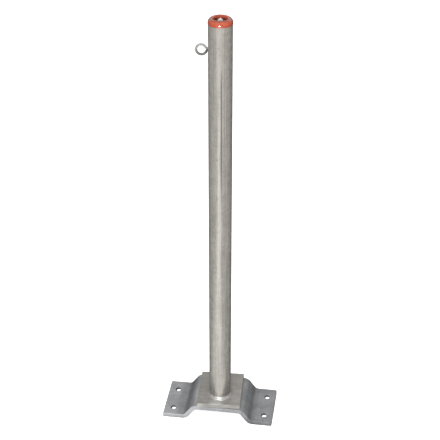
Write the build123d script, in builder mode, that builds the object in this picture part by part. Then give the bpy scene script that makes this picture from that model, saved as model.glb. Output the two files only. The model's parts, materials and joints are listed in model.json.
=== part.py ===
from build123d import *
import math
import os

# Removable bollard, surface mounted: a round post welded to a square foot, clamped
# down on a bent top-hat base by a key-operated screw spindle inside the post.
# Millimetres. +Z up, Z = 0 on the ground, origin under the middle of the base,
# +X along the base. The post stands in front of the middle of the base and its
# foot is clamped a little out of square with it.

# ---------------------------------------------------------------- driving dimensions
# base bracket, bent from flat bar
bar_w = 120.0            # width of the flat bar, along Y
bar_t = 10.0             # its thickness
base_len = 247.0         # overall length along X
base_top = 37.5          # height of the raised top above the ground
top_half = 56.0          # virtual corner of the top, upper surface, from the middle
heel_half = 76.0         # virtual corner of the heel, upper surface
bend_in = 9.0            # inside bend radius
bend_out = bend_in + bar_t
anchor_r = 6.0           # anchor holes
anchor_dx = 207.0
anchor_dy = 66.0
anchor_y0 = -3.0         # the hole pattern sits a little towards the front edge
corner_r = 1.6
worn_corner_r = 4.2      # the one blunt corner, at the back right
edge_r = 0.8             # softened long edges
base_hole_r = 9.0        # the spindle goes down through here

# where the post stands, and how far its foot is turned
post_x = 1.0
post_y = -16.0
foot_turn = 2.76         # degrees, anticlockwise from above

# foot plate
foot_x = 97.0
foot_y = 119.0
foot_t = 10.0
foot_back = 16.0         # the plate's middle lies this far behind the post's axis
foot_hole_r = 8.75

# post tube
tube_r = 24.15
tube_wall = 2.6
tube_in = tube_r - tube_wall
rim_z = 932.0
weld_leg = 5.0

# screw spindle
rod_r = 8.0
rod_low = 12.0
travel = 16.0            # it screws up this far, eight turns of a 2 mm pitch
fit = 0.06               # radial running clearance

# nut welded under the base
nut_af = 24.0
nut_h = 13.0
nut_weld_leg = 4.0
nut_weld_len = 10.0

# thrust washer and collar above the foot plate
washer_r = 15.0
washer_t = 3.0
collar_r = 17.0
collar_h = 16.0
collar_pin_r = 2.5

# centring disc on the spindle, with a retaining ring above and below
disc_z = 110.0
disc_t = 14.0
disc_r = tube_in - 0.3
disc_notch_r = 4.5
ring_t = 1.0
ring_gap = 0.1
groove_r = 7.6
groove_w = 1.1

# driving head
head_r = 10.0
head_low = 880.0
head_shoulder = 922.0
head_top = 942.0
head_bore_top = 905.0
tri_side = 11.2
stud_r = 3.2
stud_low = 906.0
head_pin_r = 2.0
head_pin_z = 887.0

# guide plate and bush in the top of the tube
guide_low = 904.0
guide_t = 8.0
guide_bush_r = 13.0
bush_low = 902.0
bush_flange_r = 15.5
bush_flange_t = 2.0

# cap
cap_r = 24.6
cap_band = 3.0           # upright band above the rim
shoulder_in = 7.8        # the shoulder draws in by this much
shoulder_up = 9.0        # and rises by this much
crest_round = 1.0
funnel_slope = 36.0      # of the wide mouth, from level
funnel_bore_r = 14.0     # where the mouth meets the bore
cap_low = 918.0
funnel_low = 916.0
funnel_throat_r = 11.2
funnel_wall = 2.4
spigot_r = tube_in - 0.05

# bent-wire eye
eye_z = 878.5
eye_out = 37.0           # middle of the ring from the post's axis
wire_r = 2.5
eye_ring_r = 10.25       # radius of the wire's centre line
shank_drop = 1.5         # the shank lies this far below the ring's middle
shank_r = 3.0
shank_in = 12.5          # inner end of the threaded shank
shank_len = 10.9
eye_hole_r = 3.25
eye_nut_af = 10.0
eye_nut_h = 5.0
eye_washer_r = 5.5
eye_washer_t = 1.5

# ---------------------------------------------------------------- planes
turn = math.radians(foot_turn)
c, s = math.cos(turn), math.sin(turn)
post_pt = (post_x, post_y, 0)
post_axis = Axis(post_pt, (0, 0, 1))
# level plane at the post's axis, local x along the foot plate's width
level = Plane(origin=post_pt, x_dir=(c, s, 0), z_dir=(0, 0, 1))
# upright plane through the post's axis: local x outwards, local y up
section = Plane(origin=post_pt, x_dir=(c, s, 0), z_dir=(s, -c, 0))
# the same with local x towards the eye's side
eye_section = Plane(origin=post_pt, x_dir=(-c, -s, 0), z_dir=(-s, c, 0))


def cross_plane(z):
    """Upright plane through the post's axis at height z, its normal across the eye's direction."""
    return Plane(origin=(post_x, post_y, z), x_dir=(c, s, 0), z_dir=(s, -c, 0))


def shank_plane(out):
    """Plane square to the eye's shank, this far out from the post's axis."""
    return Plane(origin=(post_x - out * c, post_y - out * s, eye_z - shank_drop),
                 x_dir=(-s, c, 0), z_dir=(-c, -s, 0))


shank_axis = Axis(shank_plane(0).origin, (-c, -s, 0))

foot_top = base_top + foot_t
base_under = base_top - bar_t
nut_low = base_under - nut_h
collar_low = foot_top + washer_t
collar_pin_z = collar_low + collar_h / 2

os.makedirs("parts", exist_ok=True)

# ---------------------------------------------------------------- base bracket
slope = math.atan2(base_top - bar_t, heel_half - top_half)
mitre = bar_t * math.tan(slope / 2)
half = base_len / 2


def corners(sketch, x, z):
    """The profile's corners at plus and minus x and height z."""
    return [v for v in sketch.vertices() if abs(abs(v.X) - x) < 0.05 and abs(v.Z - z) < 0.05]


with BuildPart() as base_bracket:
    with BuildSketch(Plane.XZ) as profile:
        with BuildLine():
            Polyline(
                (-half, 0), (-half, bar_t), (-heel_half, bar_t), (-top_half, base_top),
                (top_half, base_top), (heel_half, bar_t), (half, bar_t), (half, 0),
                (heel_half - mitre, 0), (top_half - mitre, base_under),
                (-(top_half - mitre), base_under), (-(heel_half - mitre), 0),
                close=True,
            )
        make_face()
        fillet(corners(profile, top_half, base_top), bend_out)
        fillet(corners(profile, heel_half, bar_t), bend_in)
        fillet(corners(profile, heel_half - mitre, 0), bend_out)
        fillet(corners(profile, top_half - mitre, base_under), bend_in)
    extrude(amount=bar_w / 2, both=True)
    ends = base_bracket.edges().filter_by(Axis.Z).filter_by(lambda e: abs(e.center().X) > half - 0.1)
    fillet(ends.filter_by(lambda e: e.center().X > 0 and e.center().Y > 0), worn_corner_r)
    ends = base_bracket.edges().filter_by(Axis.Z).filter_by(
        lambda e: abs(abs(e.center().X) - half) < 0.1 and abs(abs(e.center().Y) - bar_w / 2) < 0.1)
    fillet(ends, corner_r)
    with Locations((post_x, post_y, base_top)):
        Hole(base_hole_r, depth=bar_t + 2)
    with Locations((0, anchor_y0, bar_t)):
        with GridLocations(anchor_dx, anchor_dy, 2, 2):
            Hole(anchor_r, depth=bar_t + 2)
    # the long edges are softened by the zinc
    sides = base_bracket.edges().filter_by(
        lambda e: abs(abs(e.center().Y) - bar_w / 2) < 0.01 and abs(e.center().X) < half - 6)
    fillet(sides, edge_r)
base_bracket.part.label = "base_bracket"
export_step(base_bracket.part, "parts/base_bracket.step")

# ---------------------------------------------------------------- nut under the base
with BuildPart() as lock_nut:
    with BuildSketch(level.offset(nut_low)):
        RegularPolygon(radius=nut_af / 2, side_count=6, major_radius=False)
    extrude(amount=nut_h)
    # corners turned off at both faces
    point = nut_af / 2 / math.cos(math.pi / 6) + 0.1
    with BuildSketch(section):
        with BuildLine():
            Polyline(
                (0, nut_low), (nut_af / 2 - 0.5, nut_low), (point, nut_low + 1.4),
                (point, base_under - 1.4), (nut_af / 2 - 0.5, base_under), (0, base_under),
                close=True,
            )
        make_face()
    revolve(axis=post_axis, mode=Mode.INTERSECT)
    with Locations((post_x, post_y, base_under)):
        Hole(rod_r + fit, depth=nut_h + 2)
    mouths = lock_nut.edges().filter_by(GeomType.CIRCLE).filter_by(
        lambda e: abs(e.radius - rod_r - fit) < 0.01)
    chamfer(mouths, 0.9)
lock_nut.part.label = "lock_nut"
export_step(lock_nut.part, "parts/lock_nut.step")

# three fillet welds that hold it, on every other flat
with BuildPart() as nut_weld:
    for flat in (90, 210, 330):
        a = turn + math.radians(flat)
        face = Plane(origin=post_pt, x_dir=(math.cos(a), math.sin(a), 0),
                     z_dir=(math.sin(a), -math.cos(a), 0))
        toe = nut_af / 2
        with BuildSketch(face):
            with BuildLine():
                Line((toe, base_under), (toe, base_under - nut_weld_leg))
                ThreePointArc((toe, base_under - nut_weld_leg),
                              (toe + 0.58 * nut_weld_leg, base_under - 0.58 * nut_weld_leg),
                              (toe + nut_weld_leg, base_under))
                Line((toe + nut_weld_leg, base_under), (toe, base_under))
            make_face()
        extrude(amount=nut_weld_len / 2, both=True)
nut_weld.part.label = "nut_weld"
export_step(nut_weld.part, "parts/nut_weld.step")

# ---------------------------------------------------------------- foot plate
with BuildPart() as foot_plate:
    with BuildSketch(level.offset(base_top)):
        with Locations((0, foot_back)):
            Rectangle(foot_x, foot_y)
    extrude(amount=foot_t)
    fillet(foot_plate.edges().filter_by(Axis.Z), 1.5)
    fillet(foot_plate.faces().sort_by(Axis.Z)[-1].edges(), 1.4)
    fillet(foot_plate.faces().sort_by(Axis.Z)[0].edges(), 0.6)
    with Locations((post_x, post_y, foot_top)):
        Hole(foot_hole_r, depth=foot_t + 2)
foot_plate.part.label = "foot_plate"
export_step(foot_plate.part, "parts/foot_plate.step")

# ---------------------------------------------------------------- post tube
with BuildPart() as post_tube:
    with BuildSketch(level.offset(foot_top)):
        Circle(tube_r)
        Circle(tube_in, mode=Mode.SUBTRACT)
    extrude(amount=rim_z - foot_top)
    chamfer(post_tube.edges().filter_by(GeomType.CIRCLE).sort_by(Axis.Z)[-2:], 0.35)
    with BuildSketch(shank_plane(tube_in - 4)):
        Circle(eye_hole_r)
    extrude(amount=tube_wall + 6, mode=Mode.SUBTRACT)
post_tube.part.label = "post_tube"
export_step(post_tube.part, "parts/post_tube.step")

# fillet weld round its foot, slightly crowned
with BuildPart() as foot_weld:
    with BuildSketch(section):
        with BuildLine():
            Line((tube_r, foot_top), (tube_r + weld_leg, foot_top))
            ThreePointArc((tube_r + weld_leg, foot_top),
                          (tube_r + 0.57 * weld_leg, foot_top + 0.57 * weld_leg),
                          (tube_r, foot_top + weld_leg))
            Line((tube_r, foot_top + weld_leg), (tube_r, foot_top))
        make_face()
    revolve(axis=post_axis)
foot_weld.part.label = "foot_weld"
export_step(foot_weld.part, "parts/foot_weld.step")

# ---------------------------------------------------------------- thrust washer
with BuildPart() as thrust_washer:
    with BuildSketch(level.offset(foot_top)):
        Circle(washer_r)
        Circle(foot_hole_r, mode=Mode.SUBTRACT)
    extrude(amount=washer_t)
    chamfer(thrust_washer.edges().filter_by(GeomType.CIRCLE).filter_by(
        lambda e: abs(e.radius - washer_r) < 0.01), 0.4)
thrust_washer.part.label = "thrust_washer"
export_step(thrust_washer.part, "parts/thrust_washer.step")

# ---------------------------------------------------------------- screw spindle
low_groove = disc_z - ring_gap - ring_t / 2 - groove_w / 2
high_groove = disc_z + disc_t + ring_gap + ring_t / 2 - groove_w / 2
with BuildPart() as spindle_rod:
    with BuildSketch(section):
        with BuildLine():
            Polyline(
                (0, rod_low), (rod_r - 2.2, rod_low), (rod_r, rod_low + 1.6),
                (rod_r, low_groove), (groove_r, low_groove),
                (groove_r, low_groove + groove_w), (rod_r, low_groove + groove_w),
                (rod_r, high_groove), (groove_r, high_groove),
                (groove_r, high_groove + groove_w), (rod_r, high_groove + groove_w),
                (rod_r, head_bore_top - 1), (rod_r - 1, head_bore_top), (0, head_bore_top),
                close=True,
            )
        make_face()
    revolve(axis=post_axis)
    with BuildSketch(cross_plane(collar_pin_z)):
        Circle(collar_pin_r)
    extrude(amount=rod_r + 1, both=True, mode=Mode.SUBTRACT)
    with BuildSketch(cross_plane(head_pin_z)):
        Circle(head_pin_r)
    extrude(amount=rod_r + 1, both=True, mode=Mode.SUBTRACT)
spindle_rod.part.label = "spindle_rod"
export_step(spindle_rod.part, "parts/spindle_rod.step")

with BuildPart() as thrust_collar:
    with BuildSketch(section):
        with BuildLine():
            top = collar_low + collar_h
            Polyline(
                (rod_r + 0.05, collar_low), (collar_r - 0.8, collar_low), (collar_r, collar_low + 0.8),
                (collar_r, top - 1.2), (collar_r - 1.2, top), (rod_r + 0.05, top),
                close=True,
            )
        make_face()
    revolve(axis=post_axis)
    with BuildSketch(cross_plane(collar_pin_z)):
        Circle(collar_pin_r)
    extrude(amount=collar_r + 1, both=True, mode=Mode.SUBTRACT)
thrust_collar.part.label = "thrust_collar"
export_step(thrust_collar.part, "parts/thrust_collar.step")

# rolled spring pins, slit along their length
with BuildPart() as collar_pin:
    with BuildSketch(cross_plane(collar_pin_z)):
        Circle(collar_pin_r)
        Circle(collar_pin_r - 1.0, mode=Mode.SUBTRACT)
        with Locations((0, collar_pin_r)):
            Rectangle(0.8, 2 * collar_pin_r, mode=Mode.SUBTRACT)
    extrude(amount=collar_r - 0.6, both=True)
collar_pin.part.label = "collar_pin"
export_step(collar_pin.part, "parts/collar_pin.step")

# ---------------------------------------------------------------- centring disc
with BuildPart() as centring_disc:
    with BuildSketch(level.offset(disc_z)):
        Circle(disc_r)
        Circle(rod_r + fit, mode=Mode.SUBTRACT)
        # notches that let water past
        with PolarLocations(disc_r + 0.5, 4, start_angle=45):
            Circle(disc_notch_r, mode=Mode.SUBTRACT)
    extrude(amount=disc_t)
    chamfer(centring_disc.edges().filter_by(GeomType.CIRCLE).filter_by(
        lambda e: abs(e.radius - disc_r) < 0.01), 0.8)
centring_disc.part.label = "centring_disc"
export_step(centring_disc.part, "parts/centring_disc.step")

# the two spring retaining rings in the rod's grooves
with BuildPart() as retaining_rings:
    low_ring = disc_z - ring_gap - ring_t
    high_ring = disc_z + disc_t + ring_gap
    with BuildSketch(level.offset(low_ring), level.offset(high_ring)):
        with Locations((-0.5, 0)):
            Circle(10.2)
        with Locations((8.7, 3.9), (8.7, -3.9)):
            Circle(2.3)
        Circle(groove_r + 0.02, mode=Mode.SUBTRACT)
        with Locations((11, 0)):
            Rectangle(12, 5.2, mode=Mode.SUBTRACT)
        with Locations((9.0, 4.1), (9.0, -4.1)):
            Circle(0.8, mode=Mode.SUBTRACT)
    extrude(amount=ring_t)
retaining_rings.part.label = "retaining_rings"
export_step(retaining_rings.part, "parts/retaining_rings.step")

# ---------------------------------------------------------------- driving head
# turned sleeve pinned on the rod's end, which turns in the bush
with BuildPart() as head_sleeve:
    with BuildSketch(section):
        with BuildLine():
            Polyline(
                (rod_r + 0.05, head_low), (head_r - 0.8, head_low), (head_r, head_low + 0.8),
                (head_r, head_shoulder - 1.2), (head_r - 1.2, head_shoulder),
                (stud_r + 0.05, head_shoulder), (stud_r + 0.05, head_bore_top),
                (rod_r + 0.05, head_bore_top),
                close=True,
            )
        make_face()
    revolve(axis=post_axis)
    with BuildSketch(cross_plane(head_pin_z)):
        Circle(head_pin_r)
    extrude(amount=head_r + 1, both=True, mode=Mode.SUBTRACT)
head_sleeve.part.label = "head_sleeve"
export_step(head_sleeve.part, "parts/head_sleeve.step")

# three-sided head with a round stud fixed in the sleeve, one corner to the back
with BuildPart() as triangle_head:
    with BuildSketch(level.offset(head_shoulder)) as drive:
        RegularPolygon(radius=tri_side / math.sqrt(3), side_count=3, rotation=90)
        fillet(drive.vertices(), 0.7)
    extrude(amount=head_top - head_shoulder)
    chamfer(triangle_head.faces().sort_by(Axis.Z)[-1].edges(), 0.5)
    with BuildSketch(level.offset(stud_low)):
        Circle(stud_r)
    extrude(amount=head_shoulder - stud_low)
    # centre mark left by turning
    with BuildSketch(section):
        with BuildLine():
            Polyline((0, head_top), (1.5, head_top), (0.7, head_top - 1.2), (0, head_top - 1.6), close=True)
        make_face()
    revolve(axis=post_axis, mode=Mode.SUBTRACT)
triangle_head.part.label = "triangle_head"
export_step(triangle_head.part, "parts/triangle_head.step")

with BuildPart() as head_pin:
    with BuildSketch(cross_plane(head_pin_z)):
        Circle(head_pin_r)
        Circle(head_pin_r - 0.8, mode=Mode.SUBTRACT)
        with Locations((0, head_pin_r)):
            Rectangle(0.7, 2 * head_pin_r, mode=Mode.SUBTRACT)
    extrude(amount=head_r - 0.4, both=True)
head_pin.part.label = "head_pin"
export_step(head_pin.part, "parts/head_pin.step")

# ---------------------------------------------------------------- guide plate and bush
with BuildPart() as guide_plate:
    with BuildSketch(level.offset(guide_low)):
        Circle(tube_in - 0.05)
        Circle(guide_bush_r, mode=Mode.SUBTRACT)
    extrude(amount=guide_t)
    chamfer(guide_plate.edges().filter_by(GeomType.CIRCLE).filter_by(
        lambda e: e.radius > tube_in - 1), 0.6)
guide_plate.part.label = "guide_plate"
export_step(guide_plate.part, "parts/guide_plate.step")

with BuildPart() as guide_bush:
    with BuildSketch(section):
        with BuildLine():
            top = guide_low + guide_t
            Polyline(
                (head_r + fit, bush_low), (guide_bush_r - 0.6, bush_low), (guide_bush_r, bush_low + 0.6),
                (guide_bush_r, top), (bush_flange_r, top), (bush_flange_r, top + bush_flange_t - 0.4),
                (bush_flange_r - 0.4, top + bush_flange_t), (head_r + fit, top + bush_flange_t),
                close=True,
            )
        make_face()
    revolve(axis=post_axis)
guide_bush.part.label = "guide_bush"
export_step(guide_bush.part, "parts/guide_bush.step")

# ---------------------------------------------------------------- cap
band_top = rim_z + cap_band
crest_r = cap_r - shoulder_in
cap_top = band_top + shoulder_up
fall = math.radians(funnel_slope)
lip_r, lip_z = crest_r - crest_round * math.sin(fall), cap_top - crest_round * (1 - math.cos(fall))
bore_z = lip_z - (lip_r - funnel_bore_r) * math.tan(fall)
with BuildPart() as cap_ring:
    with BuildSketch(section):
        with BuildLine():
            Polyline((spigot_r, cap_low), (spigot_r, rim_z), (cap_r, rim_z), (cap_r, band_top))
            EllipticalCenterArc((crest_r, band_top), shoulder_in, shoulder_up, start_angle=0, arc_size=90)
            ThreePointArc(
                (crest_r, cap_top),
                (crest_r - crest_round * math.sin(fall / 2), cap_top - crest_round * (1 - math.cos(fall / 2))),
                (lip_r, lip_z),
            )
            taper = (funnel_bore_r - funnel_throat_r) / (bore_z - funnel_low)
            under = cap_top - 6.0
            Polyline(
                (lip_r, lip_z), (funnel_bore_r, bore_z), (funnel_throat_r, funnel_low),
                (funnel_throat_r + funnel_wall, funnel_low),
                (funnel_throat_r + funnel_wall + taper * (under - funnel_low), under),
                (spigot_r - 3.2, under), (spigot_r - 2.3, under - 3), (spigot_r - 2.3, cap_low),
                (spigot_r, cap_low),
            )
        make_face()
    revolve(axis=post_axis)
cap_ring.part.label = "cap_ring"
export_step(cap_ring.part, "parts/cap_ring.step")

# ---------------------------------------------------------------- bent-wire eye
# The wire leaves the shank, drops in a tight bend onto the ring, runs round its far
# side, and comes back to the shank in a short straight leg.
shank_end = tube_r - 0.15                       # where the wire starts to bend
shank_level = eye_z - shank_drop
reach = eye_out - shank_end
neck_r = (reach ** 2 + shank_drop ** 2 - eye_ring_r ** 2) / (2 * (eye_ring_r - shank_drop))
first = math.degrees(math.atan2(shank_drop + neck_r, reach))
last = 285.0                                    # the ring ends here and the leg begins
kink_r = 4.5
kink = 32.0
leg = 8.3


def ring_at(deg):
    """Point on the ring's centre line, counted from the post's side, downwards first."""
    a = math.radians(deg)
    return (eye_out - eye_ring_r * math.cos(a), eye_z - eye_ring_r * math.sin(a))


def neck_at(deg):
    """Point on the tight bend below the shank, this many degrees along it."""
    a = math.radians(deg)
    return (shank_end + neck_r * math.sin(a), shank_level - neck_r * (1 - math.cos(a)))


def kink_at(deg):
    """Point on the small bend at the end of the ring, this many degrees along it."""
    heading = math.radians(last - 90)
    x, y = ring_at(last)
    mid = (x - kink_r * math.sin(heading), y + kink_r * math.cos(heading))
    a = heading - math.pi / 2 + math.radians(deg)
    return (mid[0] + kink_r * math.cos(a), mid[1] + kink_r * math.sin(a))


leg_dir = math.radians(last - 90 + kink)
leg_end = (kink_at(kink)[0] + leg * math.cos(leg_dir), kink_at(kink)[1] + leg * math.sin(leg_dir))

with BuildPart() as eye_bolt:
    with BuildSketch(shank_plane(shank_in)):
        Circle(shank_r)
    extrude(amount=shank_len)
    chamfer(eye_bolt.edges().filter_by(GeomType.CIRCLE), 0.6)
    with BuildLine(eye_section) as wire:
        Line((shank_end - 2, shank_level), (shank_end, shank_level))
        ThreePointArc((shank_end, shank_level), neck_at((90 - first) / 2), ring_at(first))
        ThreePointArc(ring_at(first), ring_at((first + last) / 2), ring_at(last))
        ThreePointArc(ring_at(last), kink_at(kink / 2), kink_at(kink))
        Line(kink_at(kink), leg_end)
    with BuildSketch(shank_plane(shank_end - 2)):
        Circle(wire_r)
    sweep(path=wire.wire())
eye_bolt.part.label = "eye_bolt"
export_step(eye_bolt.part, "parts/eye_bolt.step")
print("eye neck radius", round(neck_r, 3), "ring starts at", round(first, 2), "wire", round(wire.wire().length, 2))

# spring washer and nut on the shank, inside the tube
washer_out = math.sqrt(tube_in ** 2 - eye_washer_r ** 2) - 0.02
with BuildPart() as eye_washer:
    with BuildSketch(shank_plane(washer_out - eye_washer_t)):
        Circle(eye_washer_r)
        Circle(shank_r + 0.1, mode=Mode.SUBTRACT)
        with Locations((0, 4.3)):
            Rectangle(0.9, 4, rotation=20, mode=Mode.SUBTRACT)
    extrude(amount=eye_washer_t)
eye_washer.part.label = "eye_washer"
export_step(eye_washer.part, "parts/eye_washer.step")

with BuildPart() as eye_nut:
    nut_in = washer_out - eye_washer_t - eye_nut_h
    with BuildSketch(shank_plane(nut_in)):
        RegularPolygon(radius=eye_nut_af / 2, side_count=6, major_radius=False)
    extrude(amount=eye_nut_h)
    with BuildSketch(eye_section):
        with BuildLine():
            point = eye_nut_af / 2 / math.cos(math.pi / 6) + 0.1
            Polyline(
                (nut_in, shank_level), (nut_in, shank_level + eye_nut_af / 2 - 0.3),
                (nut_in + 0.7, shank_level + point), (nut_in + eye_nut_h - 0.7, shank_level + point),
                (nut_in + eye_nut_h, shank_level + eye_nut_af / 2 - 0.3), (nut_in + eye_nut_h, shank_level),
                close=True,
            )
        make_face()
    revolve(axis=shank_axis, mode=Mode.INTERSECT)
    with BuildSketch(shank_plane(nut_in - 1)):
        Circle(shank_r)
    extrude(amount=eye_nut_h + 2, mode=Mode.SUBTRACT)
eye_nut.part.label = "eye_nut"
export_step(eye_nut.part, "parts/eye_nut.step")
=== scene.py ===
import bpy
import bmesh
import json
import math
from mathutils import Matrix, Vector, noise


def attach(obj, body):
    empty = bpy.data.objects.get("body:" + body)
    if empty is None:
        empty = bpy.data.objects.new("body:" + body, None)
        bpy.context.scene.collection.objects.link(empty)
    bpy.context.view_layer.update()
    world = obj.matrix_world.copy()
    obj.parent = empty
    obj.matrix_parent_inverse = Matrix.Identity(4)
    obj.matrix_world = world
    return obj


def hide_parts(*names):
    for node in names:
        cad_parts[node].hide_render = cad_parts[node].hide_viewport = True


# Removable bollard: galvanised post on a bent base, red cap, wire eye.
# Lengths in the helpers are millimetres; meshes are written in metres.

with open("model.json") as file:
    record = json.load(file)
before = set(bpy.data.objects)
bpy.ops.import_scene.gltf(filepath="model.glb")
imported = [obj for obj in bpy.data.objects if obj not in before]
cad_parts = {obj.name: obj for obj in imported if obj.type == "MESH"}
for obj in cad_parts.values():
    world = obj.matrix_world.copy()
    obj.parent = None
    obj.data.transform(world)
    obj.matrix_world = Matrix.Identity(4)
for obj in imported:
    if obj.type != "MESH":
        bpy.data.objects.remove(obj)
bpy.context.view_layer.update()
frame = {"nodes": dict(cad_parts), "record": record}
nodes = frame["nodes"]

MM = 0.001
AX, AY = 1.0, -16.0                   # the post's axis
TURN = math.radians(2.76)             # the foot is clamped a little out of square
C, S = math.cos(TURN), math.sin(TURN)
TAU = 2 * math.pi


def place(x, y, z):
    """Post's own frame (x along the foot's width, y to the back) to the row frame."""
    return (AX + x * C - y * S, AY + x * S + y * C, z)


def clamp(t, a=0.0, b=1.0):
    return max(a, min(b, t))


def ease(a, b, t):
    """0 below a, 1 above b, smooth between."""
    t = clamp((t - a) / (b - a))
    return t * t * (3 - 2 * t)


def lump(x, y, z, size, seed=0.0):
    """Smooth noise from -1 to 1, features about size mm wide."""
    return noise.noise(Vector((x / size + seed, y / size - 2.3 * seed, z / size + 0.7 * seed)))


# ---------------------------------------------------------------- mesh helpers
def build(name, verts, faces, body, mat, node=None, sharp=38.0, merge=0.0):
    mesh = bpy.data.meshes.new(name)
    mesh.from_pydata([(x * MM, y * MM, z * MM) for x, y, z in verts], [], faces)
    bm = bmesh.new()
    bm.from_mesh(mesh)
    if merge:
        bmesh.ops.remove_doubles(bm, verts=bm.verts, dist=merge * MM)
    bmesh.ops.recalc_face_normals(bm, faces=bm.faces)
    bm.to_mesh(mesh)
    bm.free()
    obj = bpy.data.objects.new(name, mesh)
    bpy.context.scene.collection.objects.link(obj)
    obj.data.materials.append(mat)
    dress(obj, sharp)
    if body:
        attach(obj, body)
        if node:
            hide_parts(node)
    return obj


def dress(obj, sharp=38.0):
    """Smooth shading, with an edge kept sharp where two faces meet at more than this angle."""
    mesh = obj.data
    mesh.polygons.foreach_set("use_smooth", [True] * len(mesh.polygons))
    mesh.set_sharp_from_angle(angle=math.radians(sharp))
    mesh.update()


def cut(obj, cutters, sharp=38.0):
    """Takes the cutters out of obj and removes them."""
    for cutter in cutters:
        mod = obj.modifiers.new("cut", "BOOLEAN")
        mod.operation = "DIFFERENCE"
        mod.solver = "EXACT"
        mod.object = cutter
        bpy.context.view_layer.update()
        dg = bpy.context.evaluated_depsgraph_get()
        made = bpy.data.meshes.new_from_object(obj.evaluated_get(dg))
        obj.modifiers.remove(mod)
        old = obj.data
        obj.data = made
        made.name = obj.name
        bpy.data.meshes.remove(old)
    for cutter in cutters:
        data = cutter.data
        bpy.data.objects.remove(cutter)
        bpy.data.meshes.remove(data)
    bm = bmesh.new()
    bm.from_mesh(obj.data)
    bmesh.ops.remove_doubles(bm, verts=bm.verts, dist=1e-6)
    bmesh.ops.dissolve_degenerate(bm, edges=bm.edges, dist=1e-6)
    bm.to_mesh(obj.data)
    bm.free()
    dress(obj, sharp)


def trace(start, *steps, size=1.0):
    """Outline as a dense list of (r, z): each step is a point, or ("arc", centre, radius, from, to)."""
    pts = [start]
    for step in steps:
        if step[0] == "arc":
            _, (cx, cz), rad, a0, a1 = step
            n = max(2, int(math.ceil(abs(math.radians(a1 - a0)) * rad / size)))
            for i in range(0, n + 1):
                a = math.radians(a0 + (a1 - a0) * i / n)
                pts.append((cx + rad * math.cos(a), cz + rad * math.sin(a)))
        else:
            x0, z0 = pts[-1]
            x1, z1 = step[0], step[1]
            own = step[2] if len(step) > 2 else size
            n = max(1, int(math.ceil(math.hypot(x1 - x0, z1 - z0) / own)))
            for i in range(1, n + 1):
                pts.append((x0 + (x1 - x0) * i / n, z0 + (z1 - z0) * i / n))
    clean = []
    for p in pts:
        if not clean or math.hypot(p[0] - clean[-1][0], p[1] - clean[-1][1]) > 1e-4:
            clean.append(p)
    if math.hypot(clean[0][0] - clean[-1][0], clean[0][1] - clean[-1][1]) < 1e-4:
        clean.pop()
    return clean


def lathe(name, outline, n, body, mat, node=None, warp=None, closed=True, sharp=38.0):
    """Turns an outline of (r, z) round the post's axis. A closed outline makes a ring, an open one is capped."""
    verts, faces = [], []
    for i, (r, z) in enumerate(outline):
        for k in range(n):
            a = TAU * k / n
            rr, zz = warp(r, z, a, i) if warp else (r, z)
            verts.append(place(rr * math.cos(a), rr * math.sin(a), zz))
    rows = len(outline)
    for i in range(rows if closed else rows - 1):
        j = (i + 1) % rows
        for k in range(n):
            m = (k + 1) % n
            faces.append((i * n + k, i * n + m, j * n + m, j * n + k))
    if not closed:
        faces.append(tuple(range(n)))
        faces.append(tuple(range((rows - 1) * n, rows * n)))
    return build(name, verts, faces, body, mat, node, sharp)


def section_ring(w, t, r, step):
    """Points (y, n, normal y, normal n) round a rounded rectangle, from the lower left corner on."""
    pts = []

    def side(y0, n0, y1, n1, ny, nn, count):
        for i in range(count):
            f = i / count
            pts.append((y0 + (y1 - y0) * f, n0 + (n1 - n0) * f, ny, nn))

    def corner(cy, cn, a0):
        for i in range(4):
            a = math.radians(a0 + 90 * i / 4)
            pts.append((cy + r * math.cos(a), cn + r * math.sin(a), math.cos(a), math.sin(a)))

    across = int(round(2 * (w - r) / step))
    edge = max(3, int(round(2 * (t - r) / step)))
    corner(w - r, -(t - r), -90)
    side(w, -(t - r), w, t - r, 1, 0, edge)
    corner(w - r, t - r, 0)
    side(w - r, t, -(w - r), t, 0, 1, across)
    corner(-(w - r), t - r, 90)
    side(-w, t - r, -w, -(t - r), -1, 0, edge)
    corner(-(w - r), -(t - r), 180)
    side(-(w - r), -t, w - r, -t, 0, -1, across)
    return pts


def bar(name, stations, w, t, r, step, plan_r, to_row, body, mat, node, warp, end_r=0.6):
    """A flat bar swept along stations (x, z, nx, nz, s). plan_r gives the corner radii in plan:
    (start -y, start +y, end -y, end +y)."""
    ring = section_ring(w, t, r, step)
    total = stations[-1][4]
    verts, faces = [], []
    for x, z, nx, nz, s in stations:
        near = min(s, total - s)
        start = s < total / 2
        pull = 0.0 if near >= end_r else end_r - math.sqrt(max(0.0, end_r ** 2 - (end_r - near) ** 2))

        def lost(rad):
            if near >= rad:
                return 0.0
            return rad - math.sqrt(max(0.0, rad ** 2 - (rad - near) ** 2))
        neg = w - max(pull, lost(plan_r[0 if start else 2]))
        pos = w - max(pull, lost(plan_r[1 if start else 3]))
        thick = t - pull
        for y, n, ny, nn in ring:
            yy = y * (pos if y > 0 else neg) / w
            nn2 = n * thick / t
            d, e = warp(x, yy, z, s, ny, nn)
            yy += d * ny + e
            nn2 += d * nn
            verts.append(to_row(x + nx * nn2, yy, z + nz * nn2))
    n = len(ring)
    for i in range(len(stations) - 1):
        for k in range(n):
            m = (k + 1) % n
            faces.append((i * n + k, i * n + m, (i + 1) * n + m, (i + 1) * n + k))
    faces.append(tuple(range(n)))
    faces.append(tuple(range((len(stations) - 1) * n, len(stations) * n)))
    return build(name, verts, faces, body, mat, node)


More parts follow.
